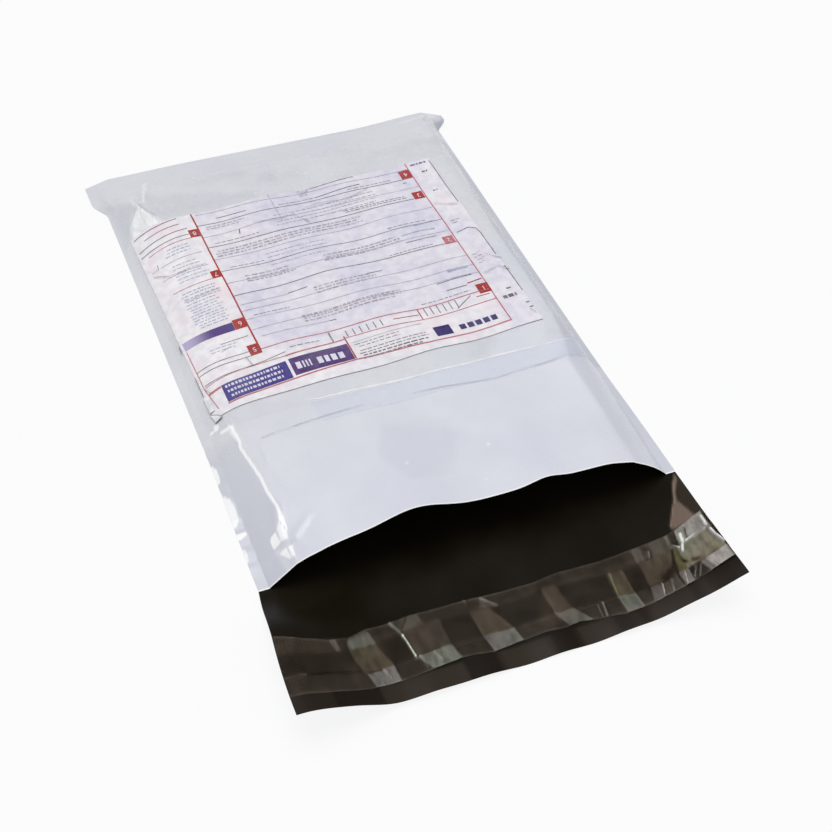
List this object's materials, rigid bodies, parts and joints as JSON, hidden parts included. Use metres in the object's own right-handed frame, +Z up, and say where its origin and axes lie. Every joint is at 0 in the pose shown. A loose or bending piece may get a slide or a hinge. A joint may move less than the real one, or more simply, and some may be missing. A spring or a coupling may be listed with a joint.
{
  "type": "poly mailer bag",
  "caption": "Poly mailer bag lying open and empty: white film pocket with black inside, opened flap with adhesive and liner, clear document pouch with a paper form.",
  "frame": {"origin": "on the table under the middle of the footprint", "axes": "+Y towards the closed far end, -Y towards the mouth and the opened flap, +X to the right when seen from the flap, +Z up, out of the front panel"},
  "size_m": [0.2632, 0.45, 0.0333],
  "materials": {
    "film_white": "satin",
    "pouch_clear": "gloss",
    "form_paper": "matte",
    "adhesive_strip": "satin",
    "liner_clear": "gloss"
  },
  "bodies": {
    "root": {"bag_film": "film_white", "document_pouch": "pouch_clear", "waybill": "form_paper", "flap_adhesive": "adhesive_strip", "release_liner": "liner_clear"}
  },
  "joints": []
}
